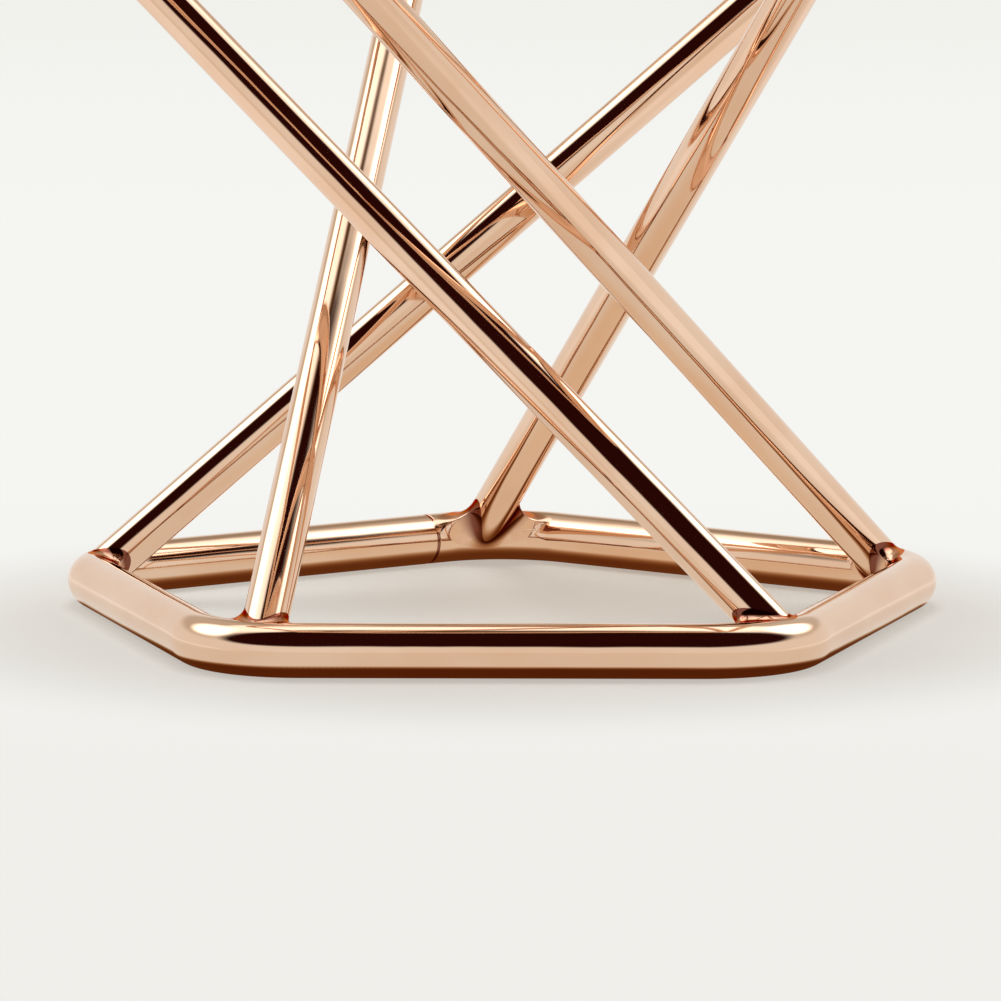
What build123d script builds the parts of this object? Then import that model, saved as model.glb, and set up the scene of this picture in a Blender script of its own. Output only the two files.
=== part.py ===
from build123d import *
from math import atan2, cos, degrees, radians, tan
import os

# An air plant holder: two equal five-sided rings of bent round rod, one on the
# table and one turned over above it, joined by five straight struts that all
# lean and twist the same way, so that they draw in to a round waist half way up.
# Origin: centre of the base ring, on the table. +Z up, +X right, -Y towards the
# viewer, with one straight side of the base ring in front.

# ---------------------------------------------------------------- driving sizes
# Millimetres and degrees.

ring_rod = 6.0  # diameter of the rod that each ring is bent from
ring_size = 52.0  # ring's centre to the sharp corner of its rod's centre line
ring_bend = 12.0  # bend radius of the rod's centre line at each corner
ring_spacing = 78.0  # from one ring's centre plane to the other's

strut_rod = 5.0  # diameter of the straight struts
strut_twist = 136.5  # turn about the upright axis from a strut's foot to its head
foot_turn = 15.0  # a strut's foot stands this far round the bend from its middle

weld_fillet = 1.8  # hollow radius of the weld metal round each strut's end
weld_toe = 0.02  # depth at which that hollow meets the rods, which leaves it an edge

seam_straight = 2.5  # straight rod left between a bend's end and the ring's seam
seam_width = 0.8  # gap between the rod's two ends, filled with weld metal
seam_groove = 0.06  # how far the dressed seam lies below the rod's skin

# ------------------------------------------------------------- worked-out sizes

# The base ring's corners and its struts' feet, anticlockwise seen from above.
corner_names = ["back", "left", "front_left", "front_right", "right"]
corner_step = 360 / len(corner_names)
half_step = radians(corner_step / 2)

bend_reach = ring_bend * tan(half_step)  # sharp corner to the end of its bend
bend_centre = ring_size - ring_bend / cos(half_step)  # ring's centre to a bend's
seam_middle = bend_reach + seam_straight + seam_width / 2  # sharp corner to the seam

# Where a strut's axis meets a ring's centre line, for the ring's corner on +X.
foot = Vector(bend_centre, 0) + Vector(ring_bend, 0).rotate(Axis.Z, foot_turn)
foot_angle = degrees(atan2(foot.Y, foot.X))
head = Vector(foot.length, 0, ring_spacing).rotate(Axis.Z, foot_angle - strut_twist)
strut_line = head - foot

# Each ring lies in its own plane, with its first corner on the plane's +X. The top
# ring is the base ring turned over, and turned about the upright axis so that each
# of its corners takes the head of a strut just as a base corner takes a foot.
base_plane = Plane(origin=(0, 0, ring_rod / 2), x_dir=(0, 1, 0), z_dir=(0, 0, 1))
top_plane = Plane(
    origin=(0, 0, ring_rod / 2 + ring_spacing),
    x_dir=Vector(0, 1).rotate(Axis.Z, 2 * foot_angle - strut_twist),
    z_dir=(0, 0, -1),
)


def side_point(index, neighbour, distance):
    """Point (x, y) on a ring's centre line, this far from one corner to the next."""
    start = Vector(ring_size, 0).rotate(Axis.Z, corner_step * index)
    towards = Vector(ring_size, 0).rotate(Axis.Z, corner_step * neighbour) - start
    point = start + towards.normalized() * distance
    return (point.X, point.Y)


def corner_plane(plane, index):
    """A ring's plane, turned to put the corner of this number on +X."""
    return plane.rotated((0, 0, corner_step * index))


def save(piece, name):
    """Name a finished piece and write its file."""
    piece.part.label = name
    export_step(piece.part, f"parts/{name}.step")


# ------------------------------------------------------------------------ rings


def bent_ring(plane):
    """One rod bent round every corner, its two ends facing across the seam."""
    count = len(corner_names)
    start = side_point(0, 1, seam_middle + seam_width / 2)
    turns = [side_point(index, index + 1, 0) for index in range(1, count + 1)]
    end = side_point(0, 1, seam_middle - seam_width / 2)
    with BuildPart() as ring:
        with BuildLine(plane) as centre_line:
            FilletPolyline(start, *turns, end, radius=ring_bend)
        with BuildSketch(Plane(centre_line.line @ 0, z_dir=centre_line.line % 0)):
            Circle(ring_rod / 2)
        sweep()
    return ring


def seam_weld(plane):
    """The thin disc of weld metal that closes a ring, ground to a faint groove."""
    centre = plane.from_local_coords(side_point(0, 1, seam_middle))
    along = plane.from_local_coords(side_point(0, 1, seam_middle + 1)) - centre
    with BuildPart() as seam:
        with BuildSketch(Plane(centre, z_dir=along)):
            Circle(ring_rod / 2 - seam_groove)
        extrude(amount=seam_width / 2, both=True)
    return seam


# ------------------------------------------------------------- struts and welds


def straight_strut(index, rings):
    """A straight rod between the rings, each end hollowed to sit on its ring."""
    with BuildPart() as strut:
        frame = corner_plane(base_plane, index)
        low = frame.from_local_coords(foot)
        high = frame.from_local_coords(head)
        with BuildSketch(Plane(low, z_dir=high - low)):
            Circle(strut_rod / 2)
        extrude(amount=strut_line.length)
        add(rings, mode=Mode.SUBTRACT)
    return strut


def rod_joint(inset, hollow=0):
    """A strut's end on the corner on +X, its rods thinner by the inset all round."""
    reach = bend_reach + seam_straight
    before = side_point(0, -1, reach)
    after = side_point(0, 1, reach)
    with BuildPart() as joint:
        with BuildLine() as bend_line:
            FilletPolyline(before, (ring_size, 0), after, radius=ring_bend)
        with BuildSketch(Plane(bend_line.line @ 0, z_dir=bend_line.line % 0)):
            Circle(ring_rod / 2 - inset)
        sweep()
        with BuildSketch(Plane(foot, z_dir=strut_line)):
            Circle(strut_rod / 2 - inset)
        extrude(amount=2 * ring_rod)
        if hollow:
            fillet(edges(Select.NEW), radius=hollow)
    return joint


def end_weld():
    """The hollow fillet of weld metal all round a strut's end, for a corner on +X."""
    filled = rod_joint(weld_toe, hollow=weld_fillet)
    bare = rod_joint(0)
    with BuildPart() as weld:
        add(filled.part)
        add(bare.part, mode=Mode.SUBTRACT)
    return weld


def placed_weld(pattern, plane, index):
    """The weld on one corner of the ring that lies in the plane."""
    with BuildPart() as weld:
        with Locations(corner_plane(plane, index).location):
            add(pattern.part)
    return weld


# --------------------------------------------------------------------- assembly

os.makedirs("parts", exist_ok=True)

base_ring = bent_ring(base_plane)
save(base_ring, "base_ring")
base_seam = seam_weld(base_plane)
save(base_seam, "base_ring_seam")
top_ring = bent_ring(top_plane)
save(top_ring, "top_ring")
top_seam = seam_weld(top_plane)
save(top_seam, "top_ring_seam")

weld_pattern = end_weld()
for index, side in enumerate(corner_names):
    strut = straight_strut(index, [base_ring.part, top_ring.part])
    save(strut, f"strut_{side}")
    foot_weld = placed_weld(weld_pattern, base_plane, index)
    save(foot_weld, f"foot_weld_{side}")
    head_weld = placed_weld(weld_pattern, top_plane, -index)
    save(head_weld, f"head_weld_{side}")

lean = strut_line.get_angle(Vector(0, 0, 1))
waist = foot.length * cos(radians(strut_twist / 2)) - strut_rod / 2
print(f"struts lean {lean:.2f} degrees, {strut_line.length:.1f} mm between the rings' rods")
print(f"clear radius at the waist {waist:.1f} mm")
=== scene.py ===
"""An air plant holder of polished rose gold rod, on a pale table in a soft light.

Two rings of bent round rod, one on the table and one turned over above it, are
joined by five straight struts that all lean and twist the same way. Each strut's
end is welded to its ring with a small hollow fillet, and each ring is closed by
one dressed butt weld. Sizes are in millimetres here and metres in the scene.
"""

import logging
import math
from dataclasses import dataclass, field
from enum import Enum

import bpy
import numpy as np
from mathutils import Matrix


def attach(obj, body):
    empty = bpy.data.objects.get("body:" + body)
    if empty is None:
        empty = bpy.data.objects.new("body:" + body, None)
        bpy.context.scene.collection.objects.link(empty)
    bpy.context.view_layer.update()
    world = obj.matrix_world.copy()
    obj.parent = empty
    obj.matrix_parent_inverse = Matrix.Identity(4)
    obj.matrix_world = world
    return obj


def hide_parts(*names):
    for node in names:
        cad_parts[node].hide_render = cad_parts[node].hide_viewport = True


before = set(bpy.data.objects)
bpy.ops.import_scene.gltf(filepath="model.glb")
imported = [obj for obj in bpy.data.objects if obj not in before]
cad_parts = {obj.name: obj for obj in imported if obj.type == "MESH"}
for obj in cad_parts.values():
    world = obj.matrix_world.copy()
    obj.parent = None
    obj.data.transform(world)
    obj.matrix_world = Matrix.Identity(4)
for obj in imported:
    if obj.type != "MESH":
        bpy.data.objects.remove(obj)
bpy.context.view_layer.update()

log = logging.getLogger("air_plant_holder")

MM = 0.001
BODY = "root"
UP = np.array([0.0, 0.0, 1.0])
SIDES = ("back", "left", "front_left", "front_right", "right")
FIRST_CORNER = 90.0  # degrees from +X to the base ring's back corner

# Names of the values that the meshes keep at their points.
STRAIGHTENED = "straight_rod_mm"
# How far a point is darkened: a butt weld's dark seam, and painted shade in a fillet weld's
# hollow corner.
SEAM_AND_CORNER_SHADE = "seam_and_corner_shade"
IN_METAL = "in_metal"
GLOW = "glow"

# Sockets of a node that mixes two colours: its share, its colours and its result.
SHARE, LOW, HIGH, MIXED = 0, 6, 7, 2

# A face's four corners, taken the other way round.
TURNED = [0, 3, 2, 1]


# ---------------------------------------------------------------------- helpers


def linear(hex_colour: str) -> tuple[float, float, float, float]:
    """Turn an sRGB hex colour into the linear values that a shader socket takes.

    Args:
        hex_colour: Six hex digits, red first.

    Returns:
        Linear red, green, blue, and an alpha of one.
    """
    srgb = np.array([int(hex_colour[i : i + 2], 16) for i in (0, 2, 4)]) / 255
    value = np.where(srgb <= 0.04045, srgb / 12.92, ((srgb + 0.055) / 1.055) ** 2.4)
    return (*value.tolist(), 1.0)


def add_node(
    tree: bpy.types.NodeTree,
    kind: str,
    inputs: dict[str | int, object] | tuple[object, ...] = (),
    **settings: object,
) -> bpy.types.Node:
    """Add one node to a tree, with its socket values, links and settings.

    Args:
        tree: The tree that gets the node.
        kind: The node's type name, without the ShaderNode in front.
        inputs: For each input socket, by name or number or in order, a plain
            value or the output socket of another node to link from.
        settings: Values of the node's own properties.

    Returns:
        The new node.
    """
    node = tree.nodes.new("ShaderNode" + kind)
    for name, value in settings.items():
        setattr(node, name, value)
    for key, value in (inputs if isinstance(inputs, dict) else dict(enumerate(inputs))).items():
        if isinstance(value, bpy.types.NodeSocket):
            tree.links.new(value, node.inputs[key])
        else:
            node.inputs[key].default_value = value
    return node


def blank(owner: bpy.types.Material | bpy.types.World) -> bpy.types.NodeTree:
    """Switch a material's or the world's nodes on, clear them and give their tree."""
    owner.use_nodes = True
    owner.node_tree.nodes.clear()
    return owner.node_tree


def put(name: str, data: bpy.types.ID) -> bpy.types.Object:
    """Put a new object with this data into the scene, at the origin."""
    item = bpy.data.objects.new(name, data)
    bpy.context.scene.collection.objects.link(item)
    return item


def keep(mesh: bpy.types.Mesh, name: str, kind: str, values: np.ndarray) -> None:
    """Keep a value at each point of a mesh, for its material to read.

    Args:
        mesh: The mesh.
        name: The value's name.
        kind: FLOAT, FLOAT_VECTOR or FLOAT_COLOR.
        values: One row for each point.
    """
    part = {"FLOAT": "value", "FLOAT_VECTOR": "vector", "FLOAT_COLOR": "color"}[kind]
    kept = mesh.attributes.new(name, kind, "POINT")
    kept.data.foreach_set(part, values.astype(np.float32).ravel())


def full_turn(count: int) -> np.ndarray:
    """Angles in radians, evenly spread round a whole turn."""
    return np.linspace(0, 2 * math.pi, count, endpoint=False)


def turn(degrees: np.ndarray | float) -> np.ndarray:
    """Unit directions in the ring's plane at these angles, as x, y and a zero z."""
    angle = np.radians(degrees)
    return np.stack([np.cos(angle), np.sin(angle), np.zeros_like(angle)], -1)


def unit(vectors: np.ndarray) -> np.ndarray:
    """The same directions with a length of one."""
    return vectors / np.linalg.norm(vectors, axis=-1, keepdims=True)


def smooth(value: np.ndarray, start: float | np.ndarray, end: float | np.ndarray) -> np.ndarray:
    """Three times the square of the way from the start to the end, less twice its cube."""
    share = np.clip((value - start) / (end - start), 0, 1)
    return share * share * (3 - 2 * share)


def quads_between(index: np.ndarray) -> np.ndarray:
    """Faces of four points each, between the rows of a grid whose columns close."""
    beside = np.roll(index, -1, axis=1)
    return np.stack([index[:-1], beside[:-1], beside[1:], index[1:]], -1).reshape(-1, 4)


# --------------------------------------------------------------------- finishes


@dataclass(frozen=True)
class Grain:
    """A noise in a plate, by the size of its grains."""

    length: float  # mm, along the rod
    width: float  # mm, round it
    detail: float  # how many finer layers are added
    height: float = 0.0  # mm, of the bumps that it makes


@dataclass(frozen=True)
class Plate:
    """Rose gold plating, a copper-coloured electroplate, on polished steel.

    Metallic is 1, the IOR is the default, and the colour is copper, paled by the
    gold in the plate. A butt weld's seam is a dark red line, and a fillet weld's
    hollow corner has a dark red line of painted shade.
    """

    name: str
    colour: str  # plate seen square on
    deep_colour: str  # where the plate is a little redder
    gloss: float  # roughness of the best-buffed skin
    haze: float  # roughness where it was buffed less
    coarse: Grain  # bumps that make the edges of a reflection wander
    fine: Grain  # and ones that only soften it
    blush: Grain  # the redder patches
    paling: tuple[float, float]  # their noise where redness ends
    wear: Grain  # the duller patches
    dulling: tuple[float, float]  # their noise from gloss to haze
    easing: str = "LINEAR"  # how roughness changes in between
    seam_and_shade_colour: str = "6E2410"  # a butt weld's dark seam, and painted shade deep in a weld's corner
    rim: str = "FFFFFF"  # tint of a glancing shine

    def place(self, tree: bpy.types.NodeTree) -> bpy.types.NodeSocket:
        """Where each point lay on the straight stock, in mm."""
        return add_node(tree, "Attribute", attribute_name=STRAIGHTENED).outputs["Vector"]

    def build(self) -> bpy.types.Material:
        """Make the material.

        Returns:
            A material that reads the points' places, and how far the dark seam and the painted
            corner shade cover them.
        """
        material = bpy.data.materials.new(self.name)
        tree = blank(material)
        place = self.place(tree)
        noise = dict.fromkeys((self.coarse, self.fine, self.blush, self.wear))
        for grain in noise:
            scale = (1 / grain.length, 1 / grain.width, 1 / grain.width)
            placed = add_node(tree, "Mapping", {"Vector": place, "Scale": scale})
            layers = {"Vector": placed.outputs["Vector"], "Scale": 1.0, "Detail": grain.detail}
            noise[grain] = add_node(tree, "TexNoise", layers).outputs["Fac"]
        pale = add_node(tree, "MapRange", (noise[self.blush], *self.paling)).outputs["Result"]
        # The dark seam of a butt weld, and painted shade in a fillet weld's corner.
        seam_and_shade = add_node(tree, "Attribute", attribute_name=SEAM_AND_CORNER_SHADE).outputs["Fac"]
        tone: object = linear(self.deep_colour)
        for share, colour in ((pale, self.colour), (seam_and_shade, self.seam_and_shade_colour)):
            tones = {SHARE: share, LOW: tone, HIGH: linear(colour)}
            tone = add_node(tree, "Mix", tones, data_type="RGBA").outputs[MIXED]
        worn = (noise[self.wear], *self.dulling, self.gloss, self.haze)
        rub = add_node(tree, "MapRange", worn, interpolation_type=self.easing).outputs["Result"]
        plate = {"Base Color": tone, "Metallic": 1.0, "Roughness": rub}
        shape: dict[str, object] = {}
        for grain in (self.coarse, self.fine):
            rise = {"Distance": grain.height * MM, "Height": noise[grain], **shape}
            shape = {"Normal": add_node(tree, "Bump", rise).outputs["Normal"]}
        metal = {**plate, **shape, "Specular Tint": linear(self.rim)}
        shader = add_node(tree, "BsdfPrincipled", metal)
        add_node(tree, "OutputMaterial", {"Surface": shader.outputs["BSDF"]})
        return material


@dataclass(frozen=True)
class PlatedRod(Plate):
    """The plate on mirror-polished rod, which was drawn, then buffed along its length.

    That gives long shallow waves, and hair lines too fine to part at this distance,
    drawn some ten times coarser than the real grit.
    """

    name: str = "rose_gold_plate_on_polished_rod"
    colour: str = "EFCDB2"
    deep_colour: str = "E9C2A4"
    gloss: float = 0.035
    haze: float = 0.07
    coarse: Grain = Grain(9.0, 3.2, 1.0, 0.045)
    fine: Grain = Grain(6.0, 0.22, 2.0, 0.0003)
    blush: Grain = Grain(14.0, 7.0, 3.0)
    paling: tuple[float, float] = (0.35, 0.65)
    wear: Grain = Grain(14.0, 7.0, 3.0)  # the same patches, where it was handled more
    dulling: tuple[float, float] = (0.42, 0.68)
    easing: str = "SMOOTHSTEP"


@dataclass(frozen=True)
class PlatedWeld(Plate):
    """The same plate over dressed weld metal.

    A weld is ground and buffed by hand in a corner that the wheel hardly reaches,
    so it keeps low ripples about a millimetre long, a softer shine and a slightly
    redder tone than the rod beside it, and grinding marks, drawn coarse enough to
    show. In the corner itself a dark red line of painted shade stands in for the shaded crevice.
    """

    name: str = "rose_gold_plate_on_dressed_weld"
    colour: str = "EDC8AC"
    deep_colour: str = "E7BFA3"
    gloss: float = 0.05
    haze: float = 0.08
    coarse: Grain = Grain(1.3, 1.3, 1.5, 0.005)
    fine: Grain = Grain(0.25, 0.25, 2.0, 0.0005)
    blush: Grain = Grain(1.3, 1.3, 1.5, 0.005)  # the ripples themselves
    paling: tuple[float, float] = (0.3, 0.6)
    wear: Grain = Grain(0.25, 0.25, 2.0, 0.0005)  # and the marks
    dulling: tuple[float, float] = (0.3, 0.7)
    rim: str = "DE8A62"  # red from light that went to and fro in the corner

    def place(self, tree: bpy.types.NodeTree) -> bpy.types.NodeSocket:
        """Where each point lies, in mm, as the weld's grain has no direction."""
        there = {"Vector": add_node(tree, "TexCoord").outputs["Object"], "Scale": 1 / MM}
        return add_node(tree, "VectorMath", there, operation="SCALE").outputs["Vector"]


class Slot(Enum):
    """The pieces' material slots."""

    ROD = "rose_gold_rod"
    WELD = "rose_gold_weld"


# ----------------------------------------------------------------------- shells


@dataclass
class Shell:
    """A closed surface on a grid of rows and columns; the columns close on themselves.

    The rows either close too, as on a torus, or run from pole to pole, as on a
    sphere. A fold is a row where the surface turns sharply.
    """

    rows: np.ndarray  # (rows, columns, 3), mm
    poles: tuple[np.ndarray, np.ndarray] | None = None
    folds: tuple[int, ...] = ()
    stock: np.ndarray | None = None  # (rows, columns, 3), mm, the points on straight stock
    seam_and_shade: np.ndarray | None = None  # (rows, columns), the dark seam and painted corner shade on it, 0 to 1

    def bands(self) -> list[tuple[int, int]]:
        """The smooth stretches between folds.

        Returns:
            The first and last row of each.
        """
        count = len(self.rows)
        if self.poles is None:
            marks = sorted(self.folds) or [0]
            return list(zip(marks, [*marks[1:], marks[0] + count]))
        marks = [0, *sorted(self.folds), count - 1]
        return list(zip(marks[:-1], marks[1:]))

    def normals(self, first: int, last: int) -> np.ndarray:
        """Directions square to the surface on one smooth stretch.

        They are the cross products of its central differences along the rows and
        round the columns.

        Args:
            first: The stretch's first row.
            last: Its last row, past the end of the grid where the rows close.

        Returns:
            Unit directions, (rows, columns, 3), which may all point inwards.
        """
        points = self.rows[np.arange(first, last + 1) % len(self.rows)]
        along = np.gradient(points, axis=0, edge_order=2 if len(points) > 2 else 1)
        around = np.roll(points, -1, axis=1) - np.roll(points, 1, axis=1)
        return unit(np.cross(around, along))

    def piece(self, name: str) -> bpy.types.Object:
        """Put the surface into the scene as one mesh, with its faces outwards.

        The sum of the triangles' triple products is six times the volume that they
        enclose, and is negative where they face inwards, so then all are turned.

        Args:
            name: The new object's name.

        Returns:
            The object, at the origin, with its place in its mesh.
        """
        count, columns = self.rows.shape[:2]
        index = np.arange(count * columns).reshape(count, columns)
        faces: list[np.ndarray] = []
        shading: list[np.ndarray] = []
        for first, last in self.bands():
            faces.append(quads_between(index[np.arange(first, last + 1) % count]))
            square = self.normals(first, last)
            beside = np.roll(square, -1, axis=1)
            corners = np.stack([square[:-1], beside[:-1], beside[1:], square[1:]], 2)
            shading.append(corners.reshape(-1, 3))
        points = self.rows.reshape(-1, 3)
        quads = np.concatenate(faces)
        fans = np.zeros((0, 3), int)
        if self.poles is not None:
            points = np.vstack([points, *self.poles])
            pole = np.full(columns, count * columns)
            beside = np.roll(index, -1, axis=1)
            near = np.stack([pole, beside[0], index[0]], -1)
            fans = np.vstack([near, np.stack([pole + 1, index[-1], beside[-1]], -1)])
            corner = points[fans]
            flat = unit(np.cross(corner[:, 1] - corner[:, 0], corner[:, 2] - corner[:, 0]))
            shading.append(np.repeat(flat, 3, axis=0))
        facing = np.concatenate(shading)
        triangles = points[np.vstack([quads[:, [0, 1, 2]], quads[:, [0, 2, 3]], fans])]
        if np.sum(triangles[:, 0] * np.cross(triangles[:, 1], triangles[:, 2])) < 0:
            split = len(quads) * 4
            quads, fans = quads[:, ::-1], fans[:, ::-1]
            sides = facing[:split].reshape(-1, 4, 3)[:, ::-1].reshape(-1, 3)
            caps = facing[split:].reshape(-1, 3, 3)[:, ::-1].reshape(-1, 3)
            facing = -np.concatenate([sides, caps])
        mesh = bpy.data.meshes.new(name)
        mesh.from_pydata((points * MM).tolist(), [], quads.tolist() + fans.tolist())
        mesh.shade_smooth()
        mesh.normals_split_custom_set(facing.tolist())
        if self.stock is not None:
            ends = [] if self.poles is None else [self.stock[k].mean(0) for k in (0, -1)]
            stock = np.vstack([self.stock.reshape(-1, 3), *ends])
            keep(mesh, STRAIGHTENED, "FLOAT_VECTOR", stock)
        if self.seam_and_shade is not None:
            plate = np.zeros(len(points))
            plate[: self.seam_and_shade.size] = self.seam_and_shade.ravel()
            keep(mesh, SEAM_AND_CORNER_SHADE, "FLOAT", plate)
        mesh.update()
        return put(name, mesh)


@dataclass(frozen=True)
class Placing:
    """Where a ring's own frame lies: x towards its first corner, z off its weld side."""

    origin: tuple[float, float, float]
    first_corner: float  # degrees from +X
    turned_over: bool = False

    def axes(self) -> np.ndarray:
        """The frame's three axes, one in each row."""
        up = -UP if self.turned_over else UP
        along = turn(self.first_corner)
        return np.stack([along, np.cross(up, along), up])

    def out(self, points: np.ndarray) -> np.ndarray:
        """Carry points from the ring's own frame to the holder's."""
        return points @ self.axes() + np.array(self.origin)


# ------------------------------------------------------------------------ rings


@dataclass(frozen=True)
class RingShape:
    """The sizes that both rings share."""

    rod: float = 6.0  # diameter of the rod
    size: float = 52.0  # ring's centre to the sharp corner of the centre line
    bend: float = 12.0  # bend radius of the centre line
    corners: int = 5
    seam_straight: float = 2.5  # from a bend's end to the seam
    seam_width: float = 0.8  # of the weld metal between the rod's ends
    seam_groove: float = 0.06
    seam_rim: float = 0.05  # how much smaller the weld disc is at its two faces
    seam_cover: float = 0.19  # how far the rod's skin was drawn over it from each side
    seam_thin: float = 0.8  # how thin the plate is down in the seam, 0 to 1
    end_round: float = 0.08  # worn edge of the skin beside the seam

    @property
    def step(self) -> float:
        """Degrees from one corner to the next."""
        return 360 / self.corners

    @property
    def half(self) -> float:
        """Half of that, in radians."""
        return math.radians(self.step / 2)

    @property
    def bend_centre(self) -> float:
        """From the ring's centre to a bend's centre."""
        return self.size - self.bend / math.cos(self.half)

    @property
    def side(self) -> float:
        """Straight length between two bends."""
        return 2 * self.bend_centre * math.sin(self.half)

    def distance(self, points: np.ndarray) -> np.ndarray:
        """How far points near the first corner lie from the rod's centre line.

        That line keeps the bend radius from the polygon of the bends' centres. So
        the distance within the plane is that to the polygon's corner or side, less
        the bend radius, and the height off the plane is a right triangle's other leg.

        Args:
            points: Places in the ring's own frame, (..., 3).

        Returns:
            Distances, (...).
        """
        x = points[..., 0] - self.bend_centre
        y = np.abs(points[..., 1])
        outwards = x * math.cos(self.half) + y * math.sin(self.half)
        sideways = y * math.cos(self.half) - x * math.sin(self.half)
        flat = np.where(sideways < 0, np.hypot(x, y), outwards)
        return np.hypot(flat - self.bend, points[..., 2])


@dataclass
class BentRing:
    """One ring: a round rod bent round five corners, and the weld that closes it."""

    node: str
    placing: Placing
    shape: RingShape
    around: int = 96  # columns round the rod
    bend_rows: int = 48  # rows in each bend
    side_rows: int = 14  # rows in each straight side
    last_rows: int = 2  # rows from the last bend to the seam
    round_rows: int = 6  # rows on the worn edge of each end
    cap_rows: int = 4  # rows on each end's flat face
    cap_start: float = 0.12  # share of the radius at which they start
    disc_rows: int = 13  # rows across the weld disc's rim
    disc_cap_rows: int = 3  # rows on each of its faces
    disc_cap_start: float = 0.15

    def centre_line(self) -> tuple[np.ndarray, np.ndarray]:
        """Rows along the rod, from one side of the seam to the other.

        A point slides along a side of the polygon of the bends' centres while the
        rod is straight, and stands at its corner while the rod bends. The centre
        line is that point plus the bend radius in the outward direction, which
        turns evenly through each bend.

        Returns:
            The sliding points, (rows, 3), and the outward directions in degrees.
        """
        shape = self.shape
        centre = shape.bend_centre * turn(np.arange(shape.corners + 1) * shape.step)
        along_side = (centre[1] - centre[0]) / shape.side
        start = shape.seam_straight + shape.seam_width - shape.seam_cover
        end = shape.seam_straight + shape.seam_cover
        bends = np.repeat(centre[1:], 2, axis=0)
        knots = np.vstack([centre[0] + along_side * start, bends, centre[0] + along_side * end])
        number = np.repeat(np.arange(1, shape.corners + 1), 2)
        halves = number + np.tile([-0.5, 0.5], shape.corners)
        facing = np.concatenate([[0.5], halves, [shape.corners + 0.5]])
        steps = [*([self.side_rows, self.bend_rows] * shape.corners), self.last_rows]
        place = np.concatenate([[0], np.cumsum(steps)])
        row = np.arange(place[-1] + 1)
        slide = np.stack([np.interp(row, place, knots[:, k]) for k in range(3)], -1)
        return slide, np.interp(row, place, facing) * shape.step

    def rod(self) -> Shell:
        """The rod's skin: a circle carried along the centre line, with worn ends.

        At each end the circle first shrinks by a quarter round, then the flat cut
        face runs in to its middle.

        Returns:
            The shell in the holder's frame.
        """
        shape = self.shape
        radius = shape.rod / 2
        slide, facing = self.centre_line()
        outwards = turn(facing)
        forward = turn(facing + 90)
        middle = slide + shape.bend * outwards
        steps = np.linalg.norm(np.diff(middle, axis=0), axis=1)
        length = np.concatenate([[0], np.cumsum(steps)])
        last = len(middle) - 1
        corner = np.radians(np.linspace(0, 90, self.round_rows))
        shrunk = radius - shape.end_round * (1 - np.sin(corner))
        face = np.linspace(self.cap_start, 1, self.cap_rows + 1)[:-1]
        reach = np.concatenate([face * (radius - shape.end_round), shrunk])
        lead = np.concatenate([np.zeros(self.cap_rows), shape.end_round * (1 - np.cos(corner))])
        size = np.concatenate([reach, np.full(last - 1, radius), reach[::-1]])
        shift = np.concatenate([lead, np.zeros(last - 1), -lead[::-1]])
        end = np.ones(len(reach), int)
        pick = np.concatenate([0 * end, np.arange(1, last), last * end])
        centre = middle[pick] + shift[:, None] * forward[pick]
        angle = full_turn(self.around)[None, :]
        wide, high = size[:, None] * np.cos(angle), size[:, None] * np.sin(angle)
        rows = centre[:, None] + wide[..., None] * outwards[pick][:, None] + high[..., None] * UP
        along = np.broadcast_to((length[pick] + shift)[:, None], wide.shape)
        stock = np.stack([along, wide, high], -1)
        ends = (self.placing.out(middle[0]), self.placing.out(middle[-1]))
        folds = (self.cap_rows, len(pick) - 1 - self.cap_rows)
        return Shell(self.placing.out(rows), ends, folds, stock=stock)

    def seam(self) -> Shell:
        """The butt weld: a thin disc just under the rod's skin, with a rounded rim.

        Its radius follows half a sine across the gap, full in the middle.

        Returns:
            The shell in the holder's frame.
        """
        shape = self.shape
        centre = shape.bend_centre * turn(np.array([0.0, shape.step]))
        forward = (centre[1] - centre[0]) / shape.side
        outwards = turn(shape.step / 2)
        start = centre[0] + forward * shape.seam_straight + shape.bend * outwards
        share = np.linspace(0, 1, self.disc_rows)
        top = shape.rod / 2 - shape.seam_groove
        rim = top - shape.seam_rim * (1 - np.sin(math.pi * share))
        inner = np.linspace(self.disc_cap_start, 1, self.disc_cap_rows + 1)[:-1] * rim[0]
        size = np.concatenate([inner, rim, inner[::-1]])
        cap = np.ones(self.disc_cap_rows)
        place = np.concatenate([0 * cap, share, cap]) * shape.seam_width
        angle = full_turn(self.around)[None, :, None]
        ring = np.cos(angle) * outwards + np.sin(angle) * UP
        rows = start + place[:, None, None] * forward + size[:, None, None] * ring
        ends = (self.placing.out(start), self.placing.out(start + shape.seam_width * forward))
        folds = (self.disc_cap_rows, len(size) - 1 - self.disc_cap_rows)
        seam_and_shade = np.full(rows.shape[:2], shape.seam_thin)
        return Shell(self.placing.out(rows), ends, folds, seam_and_shade=seam_and_shade)

    def build(self, finishes: dict[Slot, bpy.types.Material]) -> None:
        """Make the ring's rod and seam, dress them and hang them on the frame."""
        settle(self.rod(), f"{self.node}_rod", self.node, Slot.ROD, finishes)
        settle(self.seam(), f"{self.node}_butt_weld", f"{self.node}_seam", Slot.WELD, finishes)


# ------------------------------------------------------------- struts and welds


@dataclass(frozen=True)
class StrutShape:
    """The sizes that all struts and their welds share."""

    rod: float = 5.0  # diameter
    spacing: float = 78.0  # between the rings' centre planes
    twist: float = 136.5  # degrees about the upright axis, foot to head
    foot_turn: float = 15.0  # degrees round the bend from its middle
    seat: float = 0.02  # mm that a strut's end lies below the ring's skin
    fillet: float = 1.8  # hollow radius of the weld
    unevenness: float = 0.05  # share by which that radius wanders round a weld


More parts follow.
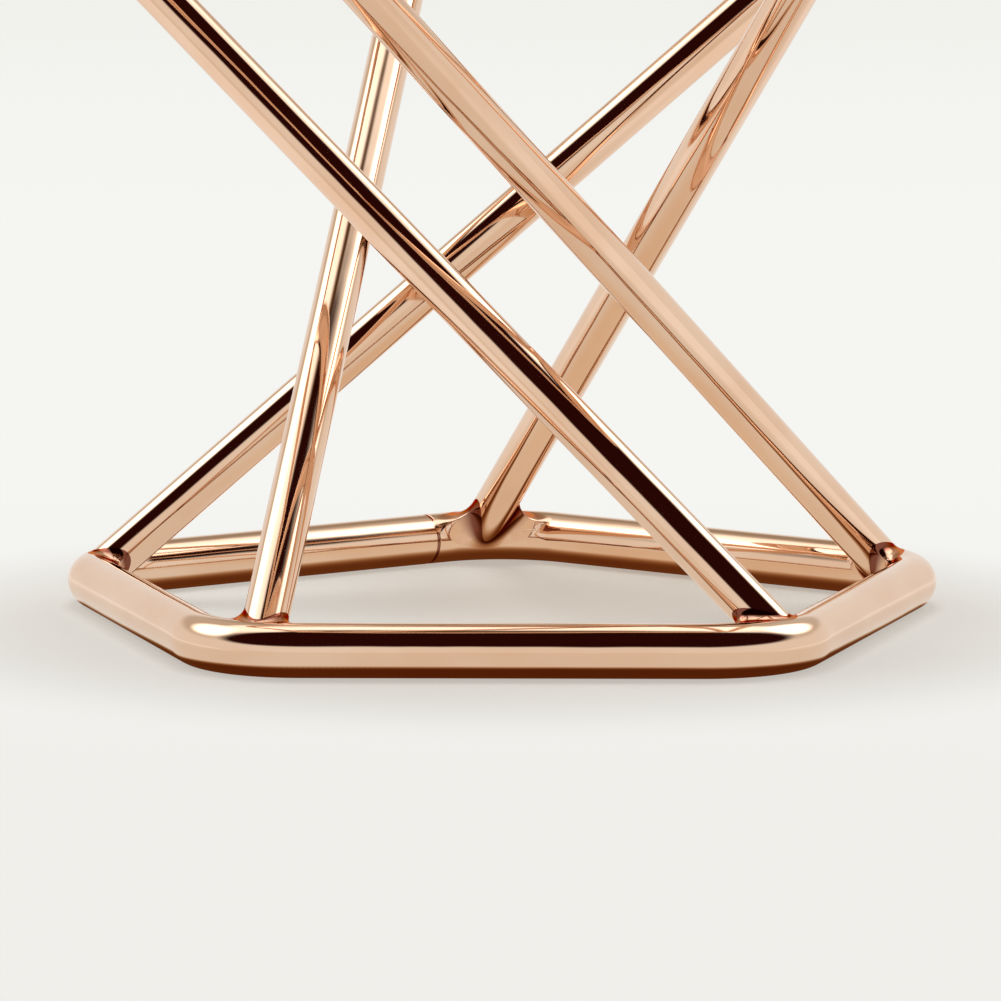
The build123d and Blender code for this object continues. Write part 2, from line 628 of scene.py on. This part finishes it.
@dataclass
class StrutJoint:
    """A strut's end on its ring, in the ring's own frame with the corner on +X."""

    ring: RingShape
    strut: StrutShape
    reach: float = 24.0  # mm along the strut within which its end is looked for
    halvings: int = 36
    step: float = 1e-4  # mm either way, for slopes

    @property
    def foot(self) -> np.ndarray:
        """Where the strut's axis meets the ring rod's centre line."""
        return self.ring.bend_centre * turn(0.0) + self.ring.bend * turn(self.strut.foot_turn)

    @property
    def foot_angle(self) -> float:
        """The foot's place round the ring, in degrees past the corner."""
        return math.degrees(math.atan2(self.foot[1], self.foot[0]))

    @property
    def line(self) -> np.ndarray:
        """From the strut's foot to its head."""
        head = math.hypot(*self.foot[:2]) * turn(self.foot_angle - self.strut.twist)
        return head + self.strut.spacing * UP - self.foot

    def cross_axes(self) -> tuple[np.ndarray, np.ndarray, np.ndarray]:
        """The strut's own direction and two directions across it."""
        forward = unit(self.line)
        side = unit(np.cross(UP, forward))
        return forward, side, np.cross(forward, side)

    def across(self, angle: np.ndarray) -> np.ndarray:
        """Unit directions square to the strut at these angles round it."""
        _, side, other = self.cross_axes()
        return np.cos(angle)[..., None] * side + np.sin(angle)[..., None] * other

    def along_until(self, radius: np.ndarray, angle: np.ndarray, gap: np.ndarray) -> np.ndarray:
        """Where lines beside the strut's axis come this far from the ring's line.

        Each line runs parallel to the axis at its radius and angle. The distance
        grows along it, so halving the span that holds the answer again and again,
        for every line at once, finds it.

        Args:
            radius: Distances from the strut's axis.
            angle: Angles round it, in radians.
            gap: Distances wanted from the ring rod's centre line.

        Returns:
            The points found, with the arguments' shape and 3 more.
        """
        forward = self.cross_axes()[0]
        start = self.foot + radius[..., None] * self.across(angle)
        low = np.zeros(start.shape[:-1])
        high = np.full(start.shape[:-1], self.reach)
        for _ in range(self.halvings):
            middle = (low + high) / 2
            near = self.ring.distance(start + middle[..., None] * forward) < gap
            low, high = np.where(near, middle, low), np.where(near, high, middle)
        return start + ((low + high) / 2)[..., None] * forward

    def gradient(self, points: np.ndarray) -> np.ndarray:
        """Unit directions straight away from the ring's centre line at points."""
        far = self.ring.distance
        slope = [far(points + offset) - far(points - offset) for offset in np.eye(3) * self.step]
        return unit(np.stack(slope, -1))


@dataclass
class StraightStrut:
    """One strut: a straight round rod, its two ends hollowed to sit on the rings."""

    side: str
    low: Placing
    high: Placing
    joint: StrutJoint
    around: int = 80
    rows: int = 40
    cap_rows: int = 8  # rows on each saddle-shaped end
    cap_start: float = 0.15  # share of the radius at which they start

    def rod(self) -> Shell:
        """The strut's skin: straight lines from one saddle-shaped end to the other.

        At each end, circles of shrinking radius lie on the ring's round skin. The
        far end is the near one carried over by the half turn that swaps the two
        rings, which reverses the order of the columns about the level direction.

        Returns:
            The shell in the holder's frame.
        """
        joint = self.joint
        seat = joint.ring.rod / 2 - joint.strut.seat
        sizes = np.linspace(self.cap_start, 1, self.cap_rows) * joint.strut.rod / 2
        wide, turned = np.meshgrid(sizes, full_turn(self.around), indexing="ij")
        end = joint.along_until(wide, turned, np.full_like(wide, seat))
        tip = joint.along_until(np.zeros(1), np.zeros(1), np.full(1, seat))[0]
        near_tip, far_tip = self.low.out(tip), self.high.out(tip)
        near = self.low.out(end)
        far = np.roll(self.high.out(end)[:, ::-1], 1, axis=1)
        share = np.linspace(0, 1, self.rows + 2)[1:-1, None, None]
        shaft = near[-1] + share * (far[-1] - near[-1])
        rows = np.concatenate([near, shaft, far[::-1]])
        axis = unit(far_tip - near_tip)
        along = (rows - near_tip) @ axis
        beside = rows - near_tip - along[..., None] * axis
        level = unit(np.cross(axis, UP))
        stock = np.stack([along, beside @ level, beside @ np.cross(axis, level)], -1)
        folds = (self.cap_rows - 1, len(rows) - self.cap_rows)
        return Shell(rows, (near_tip, far_tip), folds, stock=stock)

    def build(self, finishes: dict[Slot, bpy.types.Material]) -> None:
        """Make the strut, dress it and hang it on the frame."""
        node = f"strut_{self.side}"
        settle(self.rod(), f"{node}_rod", node, Slot.ROD, finishes)


@dataclass
class FilletWeld:
    """The hollow weld round one end of a strut."""

    node: str
    placing: Placing
    joint: StrutJoint
    phase: float  # radians, where the weld's unevenness starts
    swells: tuple[float, float] = (0.0, 0.0)  # mm more hollow radius at its left and right
    around: int = 128
    profile: int = 20
    depth: float = 0.3  # how far the hidden side runs below the rods' skins
    second_wave: float = 0.6  # of its unevenness, beside a first one of 1
    second_drift: float = 2.3  # how much faster that wave's phase runs on
    shade_darkest_at: float = 0.28  # share of the hollow, from the strut, where the painted corner shade is darkest
    corner: float = 0.62  # share where the painted shade has faded out
    corner_shade_depth: float = 0.9  # how dark the painted shade is along the strut, 0 to 1
    falloff: float = 1.2  # power of its fall in between

    def bead(self) -> Shell:
        """A ball rolled round the corner between strut and ring leaves this surface.

        For each angle round the strut the ball's centre is one ball radius off
        both rods. The hollow face is the ball's arc from where it touches the
        strut to where it touches the ring, and the shell goes back through their
        metal. The radius wanders a little round the weld, by the sum of two sines.
        A swell adds to it by the square of a half cosine that is full on its side.

        Returns:
            The shell in the holder's frame.
        """
        joint, strut = self.joint, self.joint.strut
        angle = full_turn(self.around)
        second = np.sin(3 * angle + self.second_drift * self.phase)
        wander = np.sin(2 * angle + self.phase) + self.second_wave * second
        ball = strut.fillet * (1 + strut.unevenness * wander / (1 + self.second_wave))
        for swell, facing in zip(self.swells, (-1, 1)):
            ball += swell * ((1 + facing * np.cos(angle)) / 2) ** 2
        centre = joint.along_until(strut.rod / 2 + ball, angle, joint.ring.rod / 2 + ball)
        to_strut = -joint.across(angle)
        to_ring = -joint.gradient(centre)
        opening = np.arccos(np.clip(np.sum(to_strut * to_ring, -1), -1, 1))
        share = np.linspace(0, 1, self.profile)[:, None]
        from_strut = (np.sin((1 - share) * opening) / np.sin(opening))[..., None]
        from_ring = (np.sin(share * opening) / np.sin(opening))[..., None]
        face = centre + ball[:, None] * (from_strut * to_strut + from_ring * to_ring)
        bare = np.ones_like(angle)
        root = joint.along_until(bare * strut.rod / 2, angle, bare * joint.ring.rod / 2)
        under_ring = face[-1] + self.depth * to_ring
        under_strut = face[0] + self.depth * to_strut
        rows = np.concatenate([face, [under_ring, root, under_strut]])
        folds = (0, *range(self.profile - 1, self.profile + 3))
        # Painted shade in the hollow's corner, darkest near the strut.
        fall = np.clip((self.corner - share) / (self.corner - self.shade_darkest_at), 0, 1)
        seam_and_shade = np.vstack([fall**self.falloff, np.zeros((3, 1))]) * np.ones(self.around)
        return Shell(self.placing.out(rows), folds=folds, seam_and_shade=self.corner_shade_depth * seam_and_shade)

    def build(self, finishes: dict[Slot, bpy.types.Material]) -> None:
        """Make the weld, dress it and hang it on the frame."""
        settle(self.bead(), f"{self.node}_bead", self.node, Slot.WELD, finishes)


def settle(
    shell: Shell, name: str, node: str, slot: Slot, finishes: dict[Slot, bpy.types.Material]
) -> None:
    """Make a piece of a shell, give it its material and tie it to its solid.

    Args:
        shell: The piece's surface.
        name: The piece's name.
        node: The solid that the piece is shown in place of.
        slot: The piece's material slot.
        finishes: The material for each slot.
    """
    item = shell.piece(name)
    item.data.materials.append(finishes[slot])
    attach(item, BODY)
    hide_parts(node)
    log.info("%s: %d faces, %s", item.name, len(item.data.polygons), slot.value)


@dataclass
class PlantHolder:
    """The whole holder: two rings, five struts and their welds."""

    ring: RingShape = field(default_factory=RingShape)
    strut: StrutShape = field(default_factory=StrutShape)
    phase_step: float = 1.7  # radians between the unevenness of one weld and the next
    head_phase: float = 0.9  # and between a strut's two welds
    seam_swells: tuple[float, float] = (2.4, 1.2)  # mm, of the weld dressed with the seam

    def build(self) -> None:
        """Make every piece, from the table up."""
        finishes = {Slot.ROD: PlatedRod().build(), Slot.WELD: PlatedWeld().build()}
        joint = StrutJoint(self.ring, self.strut)
        base = (0.0, 0.0, self.ring.rod / 2)
        top = (0.0, 0.0, self.ring.rod / 2 + self.strut.spacing)
        first_top = FIRST_CORNER + 2 * joint.foot_angle - self.strut.twist
        BentRing("base_ring", Placing(base, FIRST_CORNER), self.ring).build(finishes)
        BentRing("top_ring", Placing(top, first_top, True), self.ring).build(finishes)
        for number, side in enumerate(SIDES):
            turned = number * self.ring.step
            low = Placing(base, FIRST_CORNER + turned)
            high = Placing(top, first_top + turned, True)
            StraightStrut(side, low, high, joint).build(finishes)
            phase = self.phase_step * number
            swells = self.seam_swells if number == 0 else (0.0, 0.0)
            FilletWeld(f"foot_weld_{side}", low, joint, phase, swells).build(finishes)
            head = FilletWeld(f"head_weld_{side}", high, joint, phase + self.head_phase)
            head.build(finishes)


# ------------------------------------------------------------------- the studio


@dataclass(frozen=True)
class Studio:
    """A pale table under the holder, and a surround that is plain white to look at."""

    surround: str = "F5F5F2"
    table: str = "F4F3EF"
    middle: str = "CABDAF"  # painted shade inside the ring, warmed by light off the metal
    pool: str = "D9D5CD"  # and in the soft shade round it
    near: str = "F0EFEB"  # its plain tone in front of the holder
    far: str = "F0F0EB"  # and a metre behind it
    near_fade: tuple[float, float] = (-0.1, 0.11)  # metres along +Y, where the near tone ends
    far_fade: tuple[float, float] = (0.53, 1.3)  # and where the far one begins
    fill: float = 0.012  # the surround's own light on the table, only in the deepest shade
    fill_tone: str = "D9986E"  # warmed by the metal that it passes
    heart: tuple[float, float, float] = (0.010, 0.020, 0.0)  # metres, the middle of the painted warm shade
    inside: tuple[float, float] = (0.010, 0.045)  # metres from there, where the two tones meet
    clear: float = 0.042  # metres; the soft shade is even out to here
    merged: float = 0.087  # metres; from here there is only the plain tone
    softened: float = 0.72  # how far the camera sees the soft shade for the real shadows
    glow: str = "E5D4BE"  # painted shade on the table inside the ring, warmed by light off the metal, as metal shows it
    lit: str = "E8E5DF"  # and close round the ring
    front: str = "EAE5DC"  # and further out, towards the camera
    front_fade: tuple[float, float] = (-0.1, 0.1)  # metres along +Y, where that tone ends
    beside: str = "FFFFFF"  # and a painted pool of lamp light in a strip at the left and right
    strip_start: tuple[float, float] = (50.0, 80.0)  # mm to each side, where it begins
    strip_end: tuple[float, float] = (60.0, 110.0)  # mm forwards and back, where it ends
    contact_shadow: str = "582A0F"  # painted contact shadow right under the ring, where light comes only off the metal
    shadow: tuple[float, float] = (2.7, 3.8)  # mm from the rod's middle, where that tone ends
    inner_shadow: tuple[float, float] = (2.1, 5.0)  # and on the ring's inner side
    nudge: float = 0.1  # mm outwards, which tells the inner side from the outer one
    tuck: float = 1.2  # mm by which it ends sooner on the ring's far left and right
    spill: float = 0.25  # share of it that the lamps there take away
    bounce: float = 0.15  # and that the ring's inner side throws back
    reach: float = 4.0  # metres, the table's radius
    around: int = 540  # columns of its mesh
    inner_rows: tuple[float, float, int] = (5.0, 35.0, 7)  # mm from, mm to, and rows of it
    ring_rows: tuple[float, float, int] = (36.0, 58.0, 111)  # and where the ring lies
    outer_rows: int = 24  # further out, ever wider apart

    def table_material(self) -> bpy.types.Material:
        """Matt paper in a soft pool of shade, of a plain tone further out.

        The camera sees the holder's shadows softened by the pool's painted shade,
        which is warmer inside the ring, where the metal's light is painted in too.
        Metal shows a tone painted on the mesh instead of the table's real shading,
        with a painted shadow line under the ring.

        Returns:
            The material.
        """
        material = bpy.data.materials.new("matt_paper_sweep")
        tree = blank(material)
        path = add_node(tree, "LightPath").outputs
        place = add_node(tree, "TexCoord").outputs["Object"]
        depth = add_node(tree, "SeparateXYZ", (place,)).outputs["Y"]
        away = add_node(tree, "VectorMath", (place,), operation="LENGTH").outputs["Value"]
        merging = (away, self.clear, self.merged)
        fade = add_node(tree, "MapRange", merging, interpolation_type="SMOOTHERSTEP")
        warmth = add_node(tree, "VectorMath", (place, self.heart), operation="DISTANCE")
        cooling = (warmth.outputs["Value"], *self.inside)
        ringed = add_node(tree, "MapRange", cooling, interpolation_type="SMOOTHSTEP")
        plain: object = linear(self.near)
        for reached, span in ((self.surround, self.near_fade), (self.far, self.far_fade)):
            share = add_node(tree, "MapRange", (depth, *span)).outputs["Result"]
            tones = {SHARE: share, LOW: plain, HIGH: linear(reached)}
            plain = add_node(tree, "Mix", tones, data_type="RGBA").outputs[MIXED]
        mirrored = add_node(tree, "Attribute", attribute_name=IN_METAL).outputs["Color"]
        seen: object = linear(self.middle)
        for share, cover in (
            (ringed.outputs["Result"], linear(self.pool)),
            (fade.outputs["Result"], plain),
            (path["Is Glossy Ray"], mirrored),
        ):
            tones = {SHARE: share, LOW: seen, HIGH: cover}
            seen = add_node(tree, "Mix", tones, data_type="RGBA").outputs[MIXED]
        soft = {"Value": fade.outputs["Result"], "To Min": self.softened}
        softened = add_node(tree, "MapRange", soft).outputs["Result"]
        rays = (softened, path["Is Camera Ray"], path["Is Glossy Ray"])
        shown = add_node(tree, "Math", rays, operation="MULTIPLY_ADD").outputs["Value"]
        paper = add_node(tree, "BsdfDiffuse", {"Color": linear(self.table)}).outputs["BSDF"]
        tone = add_node(tree, "Emission", {"Color": seen}).outputs["Emission"]
        mixed = add_node(tree, "MixShader", (shown, paper, tone))
        add_node(tree, "OutputMaterial", {"Surface": mixed.outputs["Shader"]})
        return material

    def under_ring(self, points: np.ndarray, ring: RingShape) -> np.ndarray:
        """How far points on the table lie in the painted shadow line under the base ring.

        The points are turned by whole steps to the ring's first corner. The line
        falls smoothly from 1 to 0 with the distance from the rod's centre line, and
        reaches further on the inner side, where a step outwards leads nearer to it.
        On the outer side it is narrower and fainter at the holder's left and right,
        by the fourth power of the cosine of the angle from +X.

        Args:
            points: Places in mm, (..., 3).
            ring: The base ring.

        Returns:
            Shares from 0 to 1.
        """
        radius = np.hypot(points[..., 0], points[..., 1])[..., None]
        angle = np.degrees(np.arctan2(points[..., 1], points[..., 0])) - FIRST_CORNER
        folded = turn((angle + ring.step / 2) % ring.step - ring.step / 2)
        away = ring.distance(radius * folded)
        outer = ring.distance((radius + self.nudge) * folded) > away
        aside = outer * (points[..., 0] / np.maximum(radius[..., 0], 1)) ** 4
        start, end = (
            np.where(outer, outside - self.tuck * aside, inside)
            for outside, inside in zip(self.shadow, self.inner_shadow)
        )
        fainter = np.where(outer, self.spill * aside, self.bounce)
        return smooth(away, end, start) * (1 - fainter)

    def in_metal(self, points: np.ndarray, ring: RingShape) -> np.ndarray:
        """The table's tone at each point, as polished metal shows it.

        From the ring's middle out it is the painted warm shade, the lit tone and the
        open table's, which goes from the front one to the surround's and gives way
        to the painted lamp light of the strips beside the holder. Under the ring a
        painted shadow stands in for the light that has bounced between metal and
        table, each time losing the same shares of its colours, so there the tone is
        the product of powers of that one and the darkest one.

        Args:
            points: Places in mm, (points, 3).
            ring: The base ring.

        Returns:
            Linear colours, (points, 4).
        """

        def mixed(low: np.ndarray, high: np.ndarray, share: np.ndarray) -> np.ndarray:
            """The low colour where the share is 0, and the high one where it is 1."""
            return low + share[:, None] * (high - low)

        names = (self.glow, self.lit, self.front, self.surround, self.beside, self.contact_shadow)
        glow, lit, front, plain, beside, contact_shadow = (np.array(linear(name)) for name in names)
        metres = points * MM
        away = np.linalg.norm(metres, axis=-1)
        warmth = np.linalg.norm(metres - self.heart, axis=-1)
        ended = smooth(np.abs(points[:, 1]), *self.strip_end)
        strip = smooth(np.abs(points[:, 0]), *self.strip_start) * (1 - ended)
        near = mixed(glow, lit, smooth(warmth, *self.inside))
        open_table = mixed(front, plain, smooth(metres[:, 1], *self.front_fade))
        far = mixed(open_table, beside, strip)
        tone = mixed(near, far, smooth(away, self.clear, self.merged))
        under = self.under_ring(points, ring)[:, None]
        return tone ** (1 - under) * contact_shadow**under

    def build_table(self, ring: RingShape) -> None:
        """A flat disc under the holder, finely divided where the ring lies on it.

        Beyond the ring the rows' distances from it grow by the square of a share.

        Args:
            ring: The base ring.
        """
        edge = self.ring_rows[1]
        wider = np.linspace(0, 1, self.outer_rows)[1:] ** 2
        outer = edge + (self.reach / MM - edge) * wider
        inner, fine = np.linspace(*self.inner_rows), np.linspace(*self.ring_rows)
        radius = np.concatenate([inner, fine, outer])
        angle = np.linspace(0, 360, self.around, endpoint=False)
        rows = radius[:, None, None] * turn(angle)
        points = np.vstack([rows.reshape(-1, 3), np.zeros(3)])
        index = np.arange(radius.size * self.around).reshape(-1, self.around)
        quads = quads_between(index)[:, TURNED]
        hub = np.full(self.around, len(points) - 1)
        fan = np.stack([hub, index[0], np.roll(index[0], -1)], -1)
        mesh = bpy.data.meshes.new("table")
        mesh.from_pydata((points * MM).tolist(), [], quads.tolist() + fan.tolist())
        keep(mesh, IN_METAL, "FLOAT_COLOR", self.in_metal(points, ring))
        mesh.materials.append(self.table_material())
        table = put("table", mesh)

    def build_surround(self) -> None:
        """A world that is a plain white to look at, also in metal, and a soft fill."""
        world = bpy.data.worlds.new("white_surround")
        bpy.context.scene.world = world
        tree = blank(world)
        path = add_node(tree, "LightPath").outputs
        seen = path["Is Camera Ray"]
        for rays in (path["Is Glossy Ray"], path["Is Transmission Ray"]):
            seen = add_node(tree, "Math", (seen, rays), operation="MAXIMUM").outputs["Value"]
        warm = {"Color": linear(self.fill_tone), "Strength": self.fill}
        light = add_node(tree, "Background", warm).outputs["Background"]
        white = add_node(tree, "Background", {"Color": linear(self.surround)})
        mixed = add_node(tree, "MixShader", (seen, light, white.outputs["Background"]))
        add_node(tree, "OutputWorld", {"Surface": mixed.outputs["Shader"]})


def heading(azimuth: np.ndarray | float, elevation: np.ndarray | float) -> np.ndarray:
    """Unit directions at these degrees from +Y towards +X and up from the table."""
    around, up = np.radians(azimuth), np.radians(elevation)
    return np.stack([np.sin(around) * np.cos(up), np.cos(around) * np.cos(up), np.sin(up)], -1)


@dataclass(frozen=True)
class SoftBox:
    """A flat lamp that faces the holder and lights the table.

    Its picture in the metal is the glow in the same place on the light tent, so
    the lamp itself is left out of reflections.
    """

    name: str
    azimuth: float
    elevation: float
    distance: float  # metres
    width: float
    height: float
    brightness: float  # how bright its face looks, where 1 is white

    def build(self) -> None:
        """Put up the lamp; its power is its face's brightness, times pi, times its area."""
        lamp = bpy.data.lights.new(self.name, "AREA")
        lamp.shape = "RECTANGLE"
        lamp.size = self.width
        lamp.size_y = self.height
        lamp.energy = self.brightness * math.pi * self.width * self.height
        stand = put(self.name, lamp)
        away = heading(self.azimuth, self.elevation)
        level = unit(np.cross(UP, away))
        turned = Matrix(np.stack([level, np.cross(away, level), away], -1).tolist()).to_4x4()
        stand.matrix_world = Matrix.Translation(away * self.distance) @ turned
        stand.visible_camera = False
        stand.visible_glossy = False


@dataclass(frozen=True)
class Glow:
    """A patch of the light tent with a soft edge: a lamp behind the cloth, or dark cloth."""

    azimuth: float  # degrees, its middle
    elevation: float
    half_width: float  # degrees of azimuth
    half_height: float
    colour: str
    strength: float = 1.0  # how many times brighter than its colour
    edge: float = 0.2  # its fade, as a share of its half width and half height
    squareness: float = 2.0  # 2 is an ellipse; higher comes nearer to a rectangle

    def cover(self, azimuth: np.ndarray, elevation: np.ndarray) -> np.ndarray:
        """How far the patch covers the cloth behind it in each direction.

        The distance from the middle is a superellipse's: the root of the sum of
        the shares of the half width and half height, each to the power of the
        squareness. The cover falls smoothly from 1 to 0 round distance 1.

        Args:
            azimuth: Degrees.
            elevation: Degrees.

        Returns:
            Shares from 0 to 1.
        """
        aside = np.abs((azimuth - self.azimuth + 180) % 360 - 180) / self.half_width
        above = np.abs(elevation - self.elevation) / self.half_height
        out = (aside**self.squareness + above**self.squareness) ** (1 / self.squareness)
        return smooth(out, 1 + self.edge, 1 - self.edge)


@dataclass(frozen=True)
class LightTent:
    """The cloth dome that polished metal shows: pale, with glowing and dark patches.

    It is seen only in reflections. The camera and the table's light pass it.
    """

    cloth: str = "F2F1EE"
    distance: float = 0.62  # metres
    columns: int = 180
    rows: tuple[float, float, int] = (-4.0, 89.5, 72)  # degrees up from, to, and their count
    patches: tuple[Glow, ...] = (
        Glow(0, 38, 92, 16, "CFC9BF", edge=0.3, squareness=6),  # the wall behind
        Glow(0, 40, 16, 14, "A89C8C", edge=0.5),  # its darker middle
        Glow(348, 66, 84, 13, "FFFFFF", 1.65, edge=0.3, squareness=5),  # the ceiling
        Glow(61, 44, 24, 14, "FFFFFF", 2.8, edge=0.35),  # the lamp on the right
        Glow(289, 43, 26, 14, "FFFFFF", 2.8, edge=0.35),  # the lamp on the left
        Glow(0, 92, 400, 9, "5A4024", edge=0.5),  # the vent overhead
        Glow(173, 57, 86, 34, "2A0C08", edge=0.10, squareness=6),  # the dark front
    )

    def build(self) -> None:
        """A dome of quads on a grid of azimuth and elevation, its glow in an attribute."""
        round_it = np.linspace(0, 360, self.columns, endpoint=False)
        azimuth, elevation = np.meshgrid(round_it, np.linspace(*self.rows))
        tone = np.zeros((*azimuth.shape, 4)) + linear(self.cloth)
        for patch in self.patches:
            cover = patch.cover(azimuth, elevation)[..., None]
            lit = np.array(linear(patch.colour)) * patch.strength
            tone += cover * (lit - tone)
        points = (self.distance * heading(azimuth, elevation)).reshape(-1, 3)
        index = np.arange(azimuth.size).reshape(azimuth.shape)
        faces = [*quads_between(index)[:, TURNED].tolist(), index[-1].tolist()]
        mesh = bpy.data.meshes.new("light_tent")
        mesh.from_pydata(points.tolist(), [], faces)
        keep(mesh, GLOW, "FLOAT_COLOR", tone)
        material = bpy.data.materials.new("lit_tent_cloth")
        material.cycles.emission_sampling = "NONE"
        tree = blank(material)
        cloth = add_node(tree, "Attribute", attribute_name=GLOW)
        light = add_node(tree, "Emission", {"Color": cloth.outputs["Color"]})
        add_node(tree, "OutputMaterial", {"Surface": light.outputs["Emission"]})
        mesh.materials.append(material)
        tent = put("light_tent", mesh)
        tent.visible_camera = False
        tent.visible_diffuse = False
        tent.visible_transmission = False
        tent.visible_shadow = False


@dataclass(frozen=True)
class Viewpoint:
    """The camera, low in front of the holder, with a long lens."""

    place: tuple[float, float, float] = (2.029, -766.844, 116.382)  # mm
    azimuth: float = -0.1647  # degrees, where it looks, from +Y towards +X
    elevation: float = -7.6219
    roll: float = 0.112
    lens: float = 244.016
    sensor: float = 36.0
    nearest: float = 0.01  # metres
    farthest: float = 20.0

    def build(self) -> None:
        """Put up the camera and make it the scene's."""
        lens = bpy.data.cameras.new("viewpoint")
        lens.lens = self.lens
        lens.sensor_width = self.sensor
        lens.clip_start = self.nearest
        lens.clip_end = self.farthest
        eye = put("viewpoint", lens)
        forward = heading(self.azimuth, self.elevation)
        right = unit(np.cross(forward, UP))
        up = np.cross(right, forward)
        roll = math.radians(self.roll)
        across = right * math.cos(roll) + up * math.sin(roll)
        above = up * math.cos(roll) - right * math.sin(roll)
        turned = Matrix(np.stack([across, above, -forward], -1).tolist()).to_4x4()
        eye.matrix_world = Matrix.Translation([v * MM for v in self.place]) @ turned
        bpy.context.scene.camera = eye


def main() -> None:
    """Build the holder, then the studio round it."""
    logging.basicConfig(level=logging.INFO, format="%(message)s")
    bpy.context.scene.view_settings.view_transform = "Standard"
    holder = PlantHolder()
    holder.build()
    studio = Studio()
    studio.build_table(holder.ring)
    studio.build_surround()
    for lamp in (
        SoftBox("soft_box_right", 61.0, 44.0, 0.70, 0.42, 0.34, 3.0),
        SoftBox("soft_box_left", 289.0, 43.0, 0.70, 0.50, 0.34, 3.0),
        SoftBox("soft_box_over", 350.0, 82.0, 0.60, 0.34, 0.34, 7.6),
    ):
        lamp.build()
    LightTent().build()
    Viewpoint().build()


if __name__ == "__main__":
    main()
